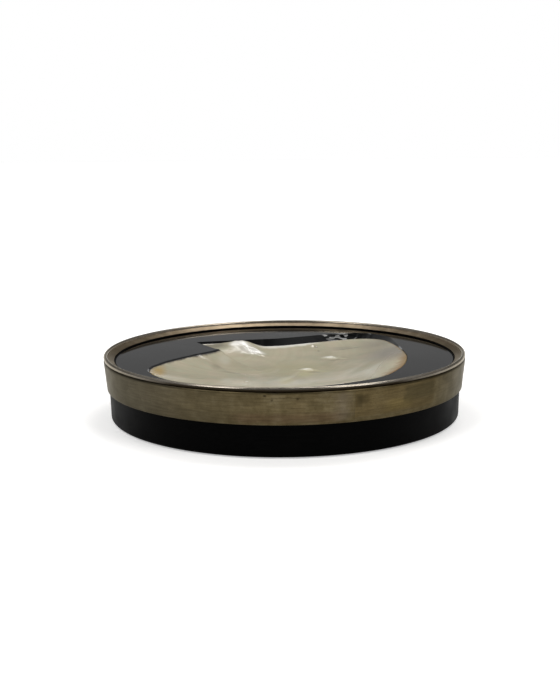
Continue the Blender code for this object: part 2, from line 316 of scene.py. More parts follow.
# Shell bed: two-part filler, spread in the sawn hole before the shell was pressed in.
# It took the shape of the shell's rough outer face, and shows only as a hairline.

FILLER_GRIT = 0.6 * MM
filler, tree = new_material("cast_polyester_filler")
place = add_node(tree, "ShaderNodeTexCoord").outputs["Object"]
grit = add_node(tree, "ShaderNodeTexNoise", {"Vector": place, "Scale": 1 / FILLER_GRIT, "Detail": 4.0})
grit_colour = add_node(
    tree, "ShaderNodeValToRGB", {"Fac": grit},
    stops=[(0.3, "#2A2722"), (0.7, "#4A453B")],
)
grit_bump = add_node(tree, "ShaderNodeBump", {"Height": grit, "Distance": 0.15 * MM, "Strength": 0.6})
shader = add_node(
    tree, "ShaderNodeBsdfPrincipled",
    {"Base Color": grit_colour, "Roughness": 0.85, "Normal": grit_bump},
)
add_node(tree, "ShaderNodeOutputMaterial", {"Surface": shader})
cover(nodes["shell_bed"], filler)


# Shell: one valve of a pearl oyster, hollow side up, ground and polished to its nacre.
# It lies in the filler with its hinge at the back left. Its front margin is flush with
# the resin and its back margin lies almost 4 mm lower.

shell_low, shell_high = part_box("shell")
resin_low, resin_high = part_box("resin_field")
FIELD_LEVEL = resin_high.z
BACK_DROP = 3.8 * MM
BOWL_CENTRE = np.array([-2.0, -8.0]) * MM
BOWL_DEPTH = 9.5 * MM
BOWL_FULLNESS = 2.4
BELLY_THICKNESS = 3.0 * MM
EDGE_THICKNESS = 1.8 * MM
CALLUS_PLACE = (-25.5, 41.0)
CALLUS_REACH = 8.0
CALLUS_HEIGHT = 2.2

# The margin in millimetres, clockwise from above: x, y and its share of the back drop
MARGIN_FROM_BEAK_TO_NOTCH = (
    (-51.2, 42.4, 0.0), (-31.0, 46.2, 0.05), (-22.5, 47.6, 0.15), (-13.0, 46.8, 0.98),
    (0.0, 49.5, 1.00), (21.0, 59.0, 0.95), (38.0, 65.6, 0.87), (51.0, 65.4, 0.73),
    (61.2, 56.0, 0.54), (65.8, 33.0, 0.18), (68.2, 12.0, 0.03), (68.2, -10.0, 0.0),
    (61.5, -37.7, 0.0), (45.9, -63.1, 0.0), (12.0, -81.5, 0.0), (-22.0, -82.0, 0.0),
    (-55.0, -65.5, 0.0), (-71.4, -39.2, 0.0), (-65.9, -17.2, 0.0), (-54.0, -0.2, 0.0),
    (-42.5, 12.7, 0.0), (-37.4, 19.6, 0.0),
)
CURVE_STEPS = 64
MARGIN_SAMPLES = 616
NOTCH_SAMPLES = 32


def curve_through(controls):
    """Fine points along a smooth curve through the controls, which keeps its ends."""
    points = [2 * controls[0] - controls[1], *controls, 2 * controls[-1] - controls[-2]]
    fine = []
    for before, start, end, after in zip(points, points[1:], points[2:], points[3:]):
        for t in np.arange(CURVE_STEPS) / CURVE_STEPS:
            linear = (end - before) * t
            square = (2 * before - 5 * start + 4 * end - after) * t ** 2
            cubic = (3 * start - before - 3 * end + after) * t ** 3
            fine.append(0.5 * (2 * start + linear + square + cubic))
    fine.append(controls[-1])
    return np.array(fine)


def spaced_points(line, count):
    """The given count of evenly spaced points along a line, leaving out its end."""
    steps = np.linalg.norm(np.diff(line[:, :2], axis=0), axis=1)
    lengths = np.concatenate([[0.0], np.cumsum(steps)])
    wanted = lengths[-1] * np.arange(count) / count
    return np.stack([np.interp(wanted, lengths, line[:, axis]) for axis in range(3)], axis=1)


def widened(outline, amounts):
    """An outline moved outwards, square to itself, by an amount at each of its points."""
    along = np.roll(outline, -1, axis=0) - np.roll(outline, 1, axis=0)
    along /= np.linalg.norm(along, axis=1)[:, None]
    return outline + np.stack([along[:, 1], -along[:, 0]], axis=1) * np.reshape(amounts, (-1, 1))


def smooth_noise(x, y, size, seed):
    """Smooth noise between -1 and 1 with features of the given size."""
    flat = [noise.noise(Vector((a / size, b / size, seed))) for a, b in zip(x.ravel(), y.ravel())]
    return np.array(flat).reshape(x.shape)


def rising(values, start, end):
    """How far values have come on their way from a start (0) to an end (1)."""
    return np.clip((values - start) / (end - start), 0, 1)


controls = [np.array(control) for control in MARGIN_FROM_BEAK_TO_NOTCH]
samples = np.concatenate([
    spaced_points(curve_through(controls), MARGIN_SAMPLES),
    spaced_points(np.array([controls[-1], controls[0]]), NOTCH_SAMPLES),
])[::-1]
measured_width = samples[:, 0].max() - samples[:, 0].min()
MARGIN = samples[:, :2] * (shell_high.x - shell_low.x) / measured_width
# The left margin is chipped a little, and lies just below the resin like the hinge.
# In millimetres: x or y where each begins, and where it is fully there.
LEFT_OF = (-34.0, -40.0)
HINGE_BEHIND = (18.0, 22.0)
HINGE_LEFT_OF = (-14.0, -22.0)
CHIP_DEPTH = 0.5 * MM
CHIP_LENGTH = 4.0
LEFT_SINK = 0.55 * MM
HINGE_SINK = 1.20 * MM
margin_x, margin_y = (MARGIN / MM).T
is_left = rising(margin_x, *LEFT_OF)
is_hinge = rising(margin_y, *HINGE_BEHIND) * rising(margin_x, *HINGE_LEFT_OF)
chips = smooth_noise(margin_x, margin_y, CHIP_LENGTH, 5.3) * is_left * (1 - is_hinge)
MARGIN = widened(MARGIN, chips * CHIP_DEPTH)
DROPS = np.clip(samples[:, 2], 0.0, 1.0) * BACK_DROP
DROPS += np.maximum(is_left * LEFT_SINK, is_hinge * HINGE_SINK)

# Marks on the nacre in millimetres: x, y, half length, half width, turn in degrees, height
NACRE_MARKS = (
    (*CALLUS_PLACE, CALLUS_REACH, CALLUS_REACH, 0, CALLUS_HEIGHT),
    (-27.0, 42.8, 7.0, 2.6, 4, 0.75),
    (-23.6, 36.2, 6.5, 1.3, -38, 1.1),
    (-17.0, 38.0, 4.0, 1.0, -24, 0.8),
    (-14.6, 32.6, 4.0, 1.0, -24, 0.8),
    (-20.0, 36.6, 3.0, 0.8, -25, -0.5),
    (-37.0, 36.0, 6.5, 5.0, 0, 1.2),
    (28.0, 29.8, 5.4, 1.4, -20, 1.25),
    (30.5, 22.0, 5.0, 1.2, 70, 0.30),
    (13.5, 2.4, 4.8, 1.4, -18, 1.25),
    (21.0, -3.8, 4.0, 1.2, -35, -0.35),
    (33.5, 25.5, 4.0, 1.2, -30, -0.35),
    (3.0, -21.0, 13.0, 2.4, 66, 0.24),
    (8.0, -5.0, 14.0, 2.2, 76, 0.22),
    (-8.0, -18.0, 14.0, 2.8, 64, 0.16),
    (40.0, -10.0, 22.0, 4.0, 60, 0.25),
    (17.3, 52.2, 1.5, 1.3, 0, 0.7),
    (19.4, 51.2, 0.7, 0.6, 0, -0.5),
    (20.7, 45.2, 0.8, 0.8, 0, -0.3),
    (-20.2, -29.9, 1.0, 1.0, 0, 0.45),
    (33.0, 48.8, 6.0, 1.5, 6, -0.4),
    (42.5, 50.2, 3.2, 1.1, 4, -0.3),
)
SCAR_PLACE = (-22.0, 9.0)
SCAR_RADII = (18.5, 17.5)
# The muscle scar sinks inside its outline and comes up again inside a smaller one
SCAR_STEPS = ((1.0, -0.60), (0.72, 0.15))
SCAR_SOFTNESS = 0.05
LUMPY_REACH = 9.0
LUMP_SIZE = 2.4
LUMP_HEIGHT = 0.35
UNDULATIONS = ((26.0, 0.30), (11.0, 0.09))
UNDULATION_FADE = 6
UMBO = np.array([-40.0, 40.0])


def hill(x, y, centre_x, centre_y, half_length, half_width, degrees):
    """A long smooth hill of height 1, turned by an angle."""
    turn = math.radians(degrees)
    along = (x - centre_x) * math.cos(turn) + (y - centre_y) * math.sin(turn)
    across = (y - centre_y) * math.cos(turn) - (x - centre_x) * math.sin(turn)
    return np.exp(-(along / half_length) ** 2 - (across / half_width) ** 2)


def hills(x, y, marks):
    """The summed height of marks, each with its place, half sizes, turn and height."""
    total = np.zeros_like(x)
    for *shape, height in marks:
        total += height * hill(x, y, *shape)
    return total


def nacre_relief(points, share):
    """Height of the nacre's own relief above the plain bowl, in metres."""
    x, y = (points / MM).T
    relief = hills(x, y, NACRE_MARKS)
    scar = np.hypot((x - SCAR_PLACE[0]) / SCAR_RADII[0], (y - SCAR_PLACE[1]) / SCAR_RADII[1])
    for outline, height in SCAR_STEPS:
        relief += height / (1 + np.exp((scar - outline) / SCAR_SOFTNESS))
    lumps = hill(x, y, *CALLUS_PLACE, LUMPY_REACH, LUMPY_REACH, 0) * smooth_noise(x, y, LUMP_SIZE, 8.2)
    relief += LUMP_HEIGHT * lumps
    fade = 1 - share ** UNDULATION_FADE
    for number, (size, height) in enumerate(UNDULATIONS):
        relief += height * fade * smooth_noise(x, y, size, 3.7 + number)
    return relief * MM


def bowl_level(share, drops):
    """Level of the plain hollow face, from its deepest place (0) to its margin (1)."""
    return FIELD_LEVEL - BOWL_DEPTH + (BOWL_DEPTH - drops) * share ** BOWL_FULLNESS


def loft(name, rings, material, first_tip=None, last_tip=None):
    """A closed piece through rings of points, with tips at its ends, or joined end to end."""
    count = len(rings[0])
    verts = np.concatenate(rings)
    index = np.arange(count)
    after = (index + 1) % count
    faces = []
    last = len(rings) if first_tip is None else len(rings) - 1
    for ring in range(last):
        upper = (ring + 1) % len(rings)
        below, above = ring * count, upper * count
        corners = (below + index, below + after, above + after, above + index)
        faces += np.stack(corners, axis=1).tolist()
    if first_tip is not None:
        tips = [len(verts), len(verts) + 1]
        verts = np.concatenate([verts, [first_tip, last_tip]])
        base = (len(rings) - 1) * count
        faces += [(int(after[spoke]), int(spoke), tips[0]) for spoke in index]
        faces += [(int(base + spoke), int(base + after[spoke]), tips[1]) for spoke in index]
    mesh = bpy.data.meshes.new(name)
    mesh.from_pydata(verts.tolist(), [], faces)
    shade(mesh)
    piece = new_object(name, mesh)
    cover(piece, material)
    return piece


def at_levels(flat, levels):
    """Flat points with their levels."""
    return np.column_stack([flat, np.broadcast_to(levels, len(flat))])


# Mother of pearl, ground and hand polished: creamy grey with a soft lustre, faint growth
# lines round the hinge, a drift of pink and green, and brown horn kept along the margin.
# Painted highlights and painted shade on the callus, the ridges, the scar, the dents and the
# margin are part of its colour.
# A mix node's colour sockets go by number, because their names repeat.
MIX_FACTOR, MIX_A, MIX_B, MIX_RESULT = 0, 6, 7, 2
GROWTH_LINE = 3.0 * MM
CREAM_CLOUD = 18 * MM
DRIFT_CLOUD = 9 * MM
HORN_AND_HIGHLIGHT_WAVER = 5 * MM
nacre, tree = new_material("polished_mother_of_pearl")
place = add_node(tree, "ShaderNodeTexCoord").outputs["Object"]
growth = add_node(tree, "ShaderNodeAttribute", attribute_name="growth").outputs["Fac"]
from_margin = add_node(tree, "ShaderNodeAttribute", attribute_name="from_margin").outputs["Fac"]
lines = add_node(
    tree, "ShaderNodeTexNoise", {"W": growth, "Scale": 1 / GROWTH_LINE, "Detail": 1.5},
    noise_dimensions="1D",
)
clouds = add_node(tree, "ShaderNodeTexNoise", {"Vector": place, "Scale": 1 / CREAM_CLOUD, "Detail": 3.0})
cream = add_node(
    tree, "ShaderNodeValToRGB", {"Fac": clouds},
    stops=[(0.3, "#ADA68A"), (0.5, "#B8B196"), (0.7, "#BFB69A")],
)
line_tint = add_node(
    tree, "ShaderNodeValToRGB", {"Fac": lines},
    stops=[(0.3, "#DAD8D2"), (0.7, "#FFFFFF")],
)
lined = add_node(
    tree, "ShaderNodeMix",
    {MIX_FACTOR: 0.15, MIX_A: cream, MIX_B: line_tint},
    data_type="RGBA", blend_type="MULTIPLY",
)
drift = add_node(
    tree, "ShaderNodeTexNoise",
    {"Vector": place, "Scale": 1 / DRIFT_CLOUD, "Detail": 2.0, "Distortion": 1.0},
)
drift_colour = add_node(
    tree, "ShaderNodeValToRGB", {"Fac": drift},
    stops=[(0.35, "#93A391"), (0.5, "#A49C87"), (0.65, "#B3978D")],
)
pearly = add_node(
    tree, "ShaderNodeMix",
    {MIX_FACTOR: 0.16, MIX_A: lined.outputs[MIX_RESULT], MIX_B: drift_colour},
    data_type="RGBA",
)
pearl_colour = pearly.outputs[MIX_RESULT]


def share_of_reach(middle_x, middle_y, reach_x, reach_y):
    """Distance from a middle as a share of the reach sideways and in depth, in millimetres."""
    shares = (1 / (reach_x * MM), 1 / (reach_y * MM), 0.0)
    middle = (-middle_x / reach_x, -middle_y / reach_y, 0.0)
    away = add_node(tree, "ShaderNodeVectorMath", {0: place, 1: shares, 2: middle}, operation="MULTIPLY_ADD")
    return add_node(tree, "ShaderNodeVectorMath", {0: away}, operation="LENGTH").outputs["Value"]


# Stains in the nacre, and painted light on it, in millimetres: middle, reach sideways and in depth, colour,
# strength
for stain_and_light_x, stain_and_light_y, reach_x, reach_y, stain_and_light_colour, stain_and_light_strength in (
    (-67.0, -37.0, 5.8, 20.0, "#B0924C", 0.90),
    (-74.0, -38.0, 6.5, 18.0, "#AFA28E", 0.85),
    (-43.0, 41.0, 13.0, 10.0, "#78725F", 0.85),
    # The callus: whiter nacre, painted whiter still as a painted highlight
    (-24.0, 38.0, 11.0, 8.0, "#E6E2D8", 0.70),
    (-27.0, 41.5, 8.0, 5.0, "#F6F4EF", 0.95),
    (-18.0, 35.5, 8.5, 5.0, "#F6F4EF", 0.95),
    # Tints across the nacre
    (10.0, 2.0, 32.0, 32.0, "#B6AE84", 0.45),
    (-26.0, 6.0, 15.0, 15.0, "#A1997C", 0.35),
    (64.0, 15.0, 26.0, 30.0, "#857E75", 0.75),
    (60.0, 50.0, 22.0, 22.0, "#8E897E", 0.5),
    # A grey-green streak over the two dents, with painted shade in them
    (36.0, 50.0, 12.0, 4.0, "#848174", 0.5),
    # A blister with its dark pit, a mark and a small pearl
    (19.4, 51.2, 1.3, 1.3, "#3B352A", 0.8),
    (20.7, 45.2, 1.2, 1.2, "#6B6250", 0.7),
    (-20.2, -29.9, 1.4, 1.4, "#E8E4DA", 0.9),
    # Painted highlights on the two ridges, each with painted shade below it
    (27.5, 31.0, 7.0, 2.6, "#ECE8DE", 0.80),
    (30.5, 24.0, 6.0, 3.0, "#7E7862", 0.50),
    (13.0, 3.4, 6.5, 2.6, "#ECE8DE", 0.80),
    (17.0, -3.4, 6.0, 3.0, "#7E7862", 0.50),
    # A paler patch in the muscle scar
    (-34.0, 10.0, 5.0, 9.0, "#C9C5B4", 0.45),
    # Yellowish streaks across the middle, partly the nacre's own tint and partly painted sheen, and a darker
    # streak beside them
    (1.0, -26.0, 6.0, 15.0, "#C4BD90", 0.50),
    (11.0, -8.0, 6.0, 12.0, "#C4BD90", 0.50),
    (10.0, -26.0, 5.0, 14.0, "#958F70", 0.40),
    # Painted shade along the lower left edge of the muscle scar
    (-38.0, -3.0, 4.0, 7.0, "#8F8870", 0.45),
    (-29.0, -8.5, 10.0, 2.6, "#8F8870", 0.45),
):
    distance = share_of_reach(stain_and_light_x, stain_and_light_y, reach_x, reach_y)
    blotch = add_node(
        tree, "ShaderNodeMapRange",
        {"Value": distance, "From Min": 0.2, "From Max": 1.0, "To Min": stain_and_light_strength, "To Max": 0.0},
        interpolation_type="SMOOTHSTEP",
    )
    stain_and_light_mix = add_node(
        tree, "ShaderNodeMix",
        {MIX_FACTOR: blotch, MIX_A: pearl_colour, MIX_B: colour(stain_and_light_colour)},
        data_type="RGBA",
    )
    pearl_colour = stain_and_light_mix.outputs[MIX_RESULT]
# Bands along the margin, in millimetres: middle, reach sideways and in depth, width from and to,
# colour, strength. They are brown horn, dark bands along the left margin, and two painted highlights.
horn_and_highlight_waver = add_node(tree, "ShaderNodeTexNoise", {"Vector": place, "Scale": 1 / HORN_AND_HIGHLIGHT_WAVER, "Detail": 3.0})
for horn_and_highlight_x, horn_and_highlight_y, reach_x, reach_y, narrow, wide, horn_and_highlight_colour, strength in (
    (62.0, -30.0, 22.0, 40.0, 3.5, 10.0, "#8A6936", 1.0),
    (66.0, 20.0, 10.0, 60.0, 0.5, 1.8, "#8F7748", 0.80),
    (-55.0, 8.0, 18.0, 32.0, 0.2, 3.2, "#4A3A22", 0.85),
    (-55.0, -2.0, 26.0, 46.0, 0.8, 1.8, "#1E1910", 1.0),
    # Painted highlights: a white band on the ear's edge and one along the low back edge
    (-47.0, 36.0, 10.0, 14.0, 1.2, 2.4, "#EFE9DC", 0.95),
    (3.0, 50.0, 24.0, 14.0, 2.8, 4.2, "#FCFAF4", 1.0),
):
    horn_and_highlight_width = add_node(
        tree, "ShaderNodeMapRange",
        {"Value": horn_and_highlight_waver, "From Min": 0.35, "From Max": 0.65,
         "To Min": narrow * MM, "To Max": wide * MM},
    )
    horn_and_highlight_edge = add_node(
        tree, "ShaderNodeMapRange",
        {"Value": from_margin, "From Min": 0.0, "From Max": horn_and_highlight_width, "To Min": strength, "To Max": 0.0},
    )
    distance = share_of_reach(horn_and_highlight_x, horn_and_highlight_y, reach_x, reach_y)
    stretch = add_node(
        tree, "ShaderNodeMapRange",
        {"Value": distance, "From Min": 0.6, "From Max": 1.0, "To Min": 1.0, "To Max": 0.0},
    )
    horn_and_highlight = add_node(tree, "ShaderNodeMath", {0: horn_and_highlight_edge, 1: stretch}, operation="MULTIPLY")
    horn_and_highlight_mix = add_node(
        tree, "ShaderNodeMix",
        {MIX_FACTOR: horn_and_highlight, MIX_A: pearl_colour, MIX_B: colour(horn_and_highlight_colour)},
        data_type="RGBA",
    )
    pearl_colour = horn_and_highlight_mix.outputs[MIX_RESULT]
lustre = add_node(
    tree, "ShaderNodeMapRange",
    {"Value": drift, "From Min": 0.3, "From Max": 0.7, "To Min": 0.17, "To Max": 0.25},
)
# The right front margin keeps its horn matt, and is polished further in
MATT_PLACE = (62.0, -30.0, 26.0, 44.0)
MATT_TO, POLISHED_FROM = 5 * MM, 24 * MM
matt_margin = add_node(
    tree, "ShaderNodeMapRange",
    {"Value": from_margin, "From Min": MATT_TO, "From Max": POLISHED_FROM, "To Min": 0.55, "To Max": 0.0},
)
right_front = add_node(
    tree, "ShaderNodeMapRange",
    {"Value": share_of_reach(*MATT_PLACE), "From Min": 0.5, "From Max": 1.3, "To Min": 1.0, "To Max": 0.0},
)
matt = add_node(tree, "ShaderNodeMath", {0: matt_margin, 1: right_front}, operation="MULTIPLY")
lustre = add_node(tree, "ShaderNodeMath", {0: lustre, 1: matt}, operation="MAXIMUM")
nacre_bump = add_node(tree, "ShaderNodeBump", {"Height": lines, "Distance": 0.03 * MM, "Strength": 0.05})
shader = add_node(
    tree, "ShaderNodeBsdfPrincipled",
    {"Base Color": pearl_colour, "Roughness": lustre, "IOR": 1.55,
     "Specular IOR Level": 0.85, "Normal": nacre_bump},
)
add_node(tree, "ShaderNodeOutputMaterial", {"Surface": shader})

HOLLOW_RINGS = 112
BACK_RINGS = 14
EDGE_INSET = 0.5 * MM
EDGE_TURNS = (60, 30, 0, -30, -60)
# A low bead follows the low back margin, and all but fades on the right
EDGE_BEAD = 0.30 * MM
EDGE_BEAD_FROM_EDGE = 1.2 * MM
EDGE_BEAD_WIDTH = 1.6 * MM
EDGE_BEAD_RIGHT_END = (30.0 * MM, 15.0 * MM)
EDGE_BEAD_LEAST = 0.2
inner = widened(MARGIN, -EDGE_INSET)
inner_reach = np.linalg.norm(inner - BOWL_CENTRE, axis=1)
bead_height = EDGE_BEAD * np.clip(DROPS / BACK_DROP, 0, 1)
bead_height *= np.maximum(rising(inner[:, 0], *EDGE_BEAD_RIGHT_END), EDGE_BEAD_LEAST)
rings = []
ring_shares = []
for share in np.arange(1, HOLLOW_RINGS + 1) / HOLLOW_RINGS:
    flat = BOWL_CENTRE + (inner - BOWL_CENTRE) * share
    from_bead = (1 - share) * inner_reach - EDGE_BEAD_FROM_EDGE
    bead = bead_height * np.exp(-(from_bead / EDGE_BEAD_WIDTH) ** 2)
    rings.append(at_levels(flat, bowl_level(share, DROPS) + nacre_relief(flat, share) + bead))
    ring_shares.append(share)
top_of_edge = rings[-1][:, 2]
bottom_of_edge = bowl_level(1.0, DROPS) - EDGE_THICKNESS
for degrees in EDGE_TURNS:
    turn = math.radians(degrees)
    flat = widened(MARGIN, EDGE_INSET * (math.cos(turn) - 1))
    half_edge = (top_of_edge - bottom_of_edge) / 2
    rings.append(at_levels(flat, bottom_of_edge + half_edge * (1 + math.sin(turn))))
    ring_shares.append(1.0)
for share in np.arange(BACK_RINGS, 0, -1) / BACK_RINGS:
    flat = BOWL_CENTRE + (inner - BOWL_CENTRE) * share
    thickness = BELLY_THICKNESS + (EDGE_THICKNESS - BELLY_THICKNESS) * share ** 2
    rings.append(at_levels(flat, bowl_level(share, DROPS) - thickness))
    ring_shares.append(share)
middle_relief = float(nacre_relief(BOWL_CENTRE[None, :], np.zeros(1))[0])
deepest = FIELD_LEVEL - BOWL_DEPTH
shell = loft(
    "pearl_shell", rings, nacre,
    (*BOWL_CENTRE, deepest + middle_relief), (*BOWL_CENTRE, deepest - BELLY_THICKNESS),
)
margin_reach = np.linalg.norm(MARGIN - BOWL_CENTRE, axis=1)
ring_reaches = [(1 - share) * margin_reach for share in ring_shares]
give_values(shell.data, "from_margin", np.concatenate([*ring_reaches, [margin_reach.min()] * 2]))
flat_places = np.array([vert.co[:2] for vert in shell.data.vertices])
give_values(shell.data, "growth", np.linalg.norm(flat_places - UMBO * MM, axis=1))
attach(shell, "root")
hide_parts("shell")


# Resin field: black casting resin, poured round the shell and left to level itself.
# It climbs a little at the wooden lip, and where the shell lies low at the back it ran
# down to the nacre in slow folds before it set.

RESIN_GAP = 0.10 * MM
SLOPE_TOP_ROUND = 0.10 * MM
SLOPE_RUN = 1.2
MENISCUS_RISE = 0.05 * MM
MENISCUS_REACH = 0.55 * MM
RESIN_RADIUS = resin_high.x
HAZE_CLOUD = 22 * MM
HAIRLINE = 0.8 * MM
WIPE_TURN = math.radians(24)
WIPE_STRETCH = 0.06
DUST_SPACING = 7 * MM

# Cast epoxy, black all through: a mirror with the faint haze and hairline marks of wiping.
resin, tree = new_material("cast_black_epoxy")
place = add_node(tree, "ShaderNodeTexCoord").outputs["Object"]
haze = add_node(tree, "ShaderNodeTexNoise", {"Vector": place, "Scale": 1 / HAZE_CLOUD, "Detail": 4.0})
haze_roughness = add_node(
    tree, "ShaderNodeMapRange",
    {"Value": haze, "From Min": 0.35, "From Max": 0.75, "To Min": 0.035, "To Max": 0.075},
)
wiped = add_node(
    tree, "ShaderNodeMapping",
    {"Vector": place, "Rotation": (0, 0, WIPE_TURN), "Scale": (WIPE_STRETCH, 1.0, 1.0)},
)
hairlines = add_node(tree, "ShaderNodeTexNoise", {"Vector": wiped, "Scale": 1 / HAIRLINE, "Detail": 2.0})
hairline_bump = add_node(
    tree, "ShaderNodeBump",
    {"Height": hairlines, "Distance": 0.002 * MM, "Strength": 0.3},
)
dust = add_node(tree, "ShaderNodeTexVoronoi", {"Vector": place, "Scale": 1 / DUST_SPACING})
dust_colour = add_node(
    tree, "ShaderNodeValToRGB", {"Fac": dust},
    stops=[(0.02, "#2B2B2B"), (0.05, "#020203")],
)
shader = add_node(
    tree, "ShaderNodeBsdfPrincipled",
    {"Base Color": dust_colour, "Roughness": haze_roughness, "IOR": 1.5,
     "Normal": hairline_bump},
)
add_node(tree, "ShaderNodeOutputMaterial", {"Surface": shader})


def outward_to_circle(points, radius):
    """For each point, where the ray from the bowl's middle through it meets a circle."""
    direction = points - BOWL_CENTRE
    direction /= np.linalg.norm(direction, axis=1)[:, None]
    along = (BOWL_CENTRE * direction).sum(axis=1)
    reach = -along + np.sqrt(along ** 2 + radius ** 2 - (BOWL_CENTRE ** 2).sum())
    return BOWL_CENTRE + direction * reach[:, None]


# Folds of the run-down resin in millimetres: x, y, half length, half width, turn, height
RESIN_FOLDS = (
    (26.0, 64.0, 2.6, 0.5, 60, 0.25),
    (30.0, 64.6, 3.4, 0.5, 24, 0.30),
    (34.0, 67.5, 5.0, 0.5, 22, 0.30),
    (40.0, 69.4, 5.0, 0.5, -8, 0.30),
    (46.0, 67.0, 4.0, 0.5, 18, 0.25),
)
# Swirls on the widest part of the slope: x, y, half length, half width, turn
SWIRL_PLACE = (41.0, 66.5, 19.0, 5.0, 4)
SWIRL_SIZE = 9.0
SWIRL_SQUEEZE = 1.6
SWIRL_TURNS = 9.0
SWIRL_DEPTH = 0.5
# Long swells and shorter ripples of the set surface, which only its reflections show
SWELL_HEIGHT = 0.012 * MM
SWELL_X, SWELL_Y = 13 * MM, 17 * MM
RIPPLE_HEIGHT = 0.006 * MM
RIPPLE_LENGTH = 8 * MM


def resin_level(flat):
    """Level of the field: nearly flat, with its climb at the lip."""
    x, y = flat.T
    swell = SWELL_HEIGHT * np.sin(x / SWELL_X + 0.8) * np.sin(y / SWELL_Y + 0.3)
    ripple = RIPPLE_HEIGHT * np.sin((x + y) / RIPPLE_LENGTH)
    climb = MENISCUS_RISE * np.exp(-(RESIN_RADIUS - np.hypot(x, y)) / MENISCUS_REACH)
    return FIELD_LEVEL + swell + ripple + climb


SLOPE_STEPS = 36
FIELD_STEPS = 26
FOOT_BELOW_MARGIN = 0.35 * MM
# Rows near the slope and near the lip, in millimetres from each
SLOPE_ROWS = (0.2, 0.6, 1.2)
LIP_ROWS = (2.2, 1.6, 1.2, 0.9, 0.6, 0.4, 0.2, 0.0)
slope_foot = widened(MARGIN, RESIN_GAP)
foot_level = FIELD_LEVEL - DROPS - FOOT_BELOW_MARGIN
slope_top = widened(MARGIN, RESIN_GAP + SLOPE_TOP_ROUND + SLOPE_RUN * DROPS)
rim_line = outward_to_circle(slope_top, RESIN_RADIUS)
rings = [at_levels(slope_foot, resin_low.z)]
for share in np.arange(SLOPE_STEPS + 1) / SLOPE_STEPS:
    flat = slope_foot + (slope_top - slope_foot) * share
    level = foot_level + (resin_level(slope_top) - foot_level) * share
    x, y = (flat / MM).T
    swirl = smooth_noise(x, SWIRL_SQUEEZE * y, SWIRL_SIZE, 6.1)
    folds = hills(x, y, RESIN_FOLDS)
    folds += SWIRL_DEPTH * hill(x, y, *SWIRL_PLACE) * np.sin(SWIRL_TURNS * swirl)
    rings.append(at_levels(flat, level + folds * MM * math.sin(math.pi * share) * DROPS / BACK_DROP))
span = rim_line - slope_top
span_length = np.linalg.norm(span, axis=1)[:, None]
near_shares = [distance * MM / span_length for distance in SLOPE_ROWS]
far_shares = [1 - distance * MM / span_length for distance in LIP_ROWS]
middle_span = far_shares[0] - near_shares[-1]
between = [near_shares[-1] + middle_span * step / FIELD_STEPS for step in range(1, FIELD_STEPS)]
for share in [*near_shares, *between, *far_shares]:
    flat = slope_top + span * share
    rings.append(at_levels(flat, resin_level(flat)))
rings.append(at_levels(rim_line, resin_low.z))
field = loft("poured_resin_field", rings, resin)
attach(field, "root")
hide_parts("resin_field")


# Seam strip: a thin strip of raw brass, soldered behind the band's butt seam.
# Only the hairline of the seam shows it. The CAD strip is right as it is.

SOLDER_STAIN = 4 * MM
raw_brass, tree = new_material("rolled_brass_strip")
place = add_node(tree, "ShaderNodeTexCoord").outputs["Object"]
blotch = add_node(tree, "ShaderNodeTexNoise", {"Vector": place, "Scale": 1 / SOLDER_STAIN, "Detail": 4.0})
brass_colour = add_node(
    tree, "ShaderNodeValToRGB", {"Fac": blotch},
    stops=[(0.35, "#5A4524"), (0.65, "#B08D4C")],
)
brass_roughness = add_node(
    tree, "ShaderNodeMapRange",
    {"Value": blotch, "From Min": 0.3, "From Max": 0.7, "To Min": 0.55, "To Max": 0.35},
)
shader = add_node(
    tree, "ShaderNodeBsdfPrincipled",
    {"Base Color": brass_colour, "Metallic": 1.0, "Roughness": brass_roughness},
)
add_node(tree, "ShaderNodeOutputMaterial", {"Surface": shader})
cover(nodes["seam_strip"], raw_brass)


# Band: silver-plated brass sheet, 1 mm thick, wrapped round the drum and butted at a
# seam right of the front. Its top edge is turned inwards under the rim ring. The plating
# has worn and tarnished to a brassy grey, most of all over the soldered strip.

band_low, band_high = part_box("band")
ring_low, ring_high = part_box("rim_ring")
BAND_TAPER = 1.5 * MM
BAND_THICKNESS = 1.0 * MM
BAND_TURNED_WIDTH = 1.7 * MM
BAND_SHOULDER = 1.4 * MM
BAND_EDGE = 0.3 * MM
TURNED_EDGE = 0.2 * MM
SEAM_ANGLE = math.radians(-70.4)
SEAM_WIDTH = 0.06 * MM
BAND_SEGMENTS = 1100
WALL_ROWS = 20
PLATE_CLOUD = 9 * MM
SPECKLE = 0.6 * MM
STREAK = 0.9 * MM
STREAK_STRETCH = 0.08
RAGGED_SIZE = 5 * MM
RAGGED_DEPTH = 4 * MM
RAGGED_LIFT = 0.3
SIDE_TINT = 0.47
SIDE_FROM, SIDE_TO = 55 * MM, 92 * MM
LEVEL_SOFTNESS = 2.0
BAND_RADIUS = band_high.x
BAND_FOOT = band_low.z
shoulder_level = band_high.z - BAND_SHOULDER

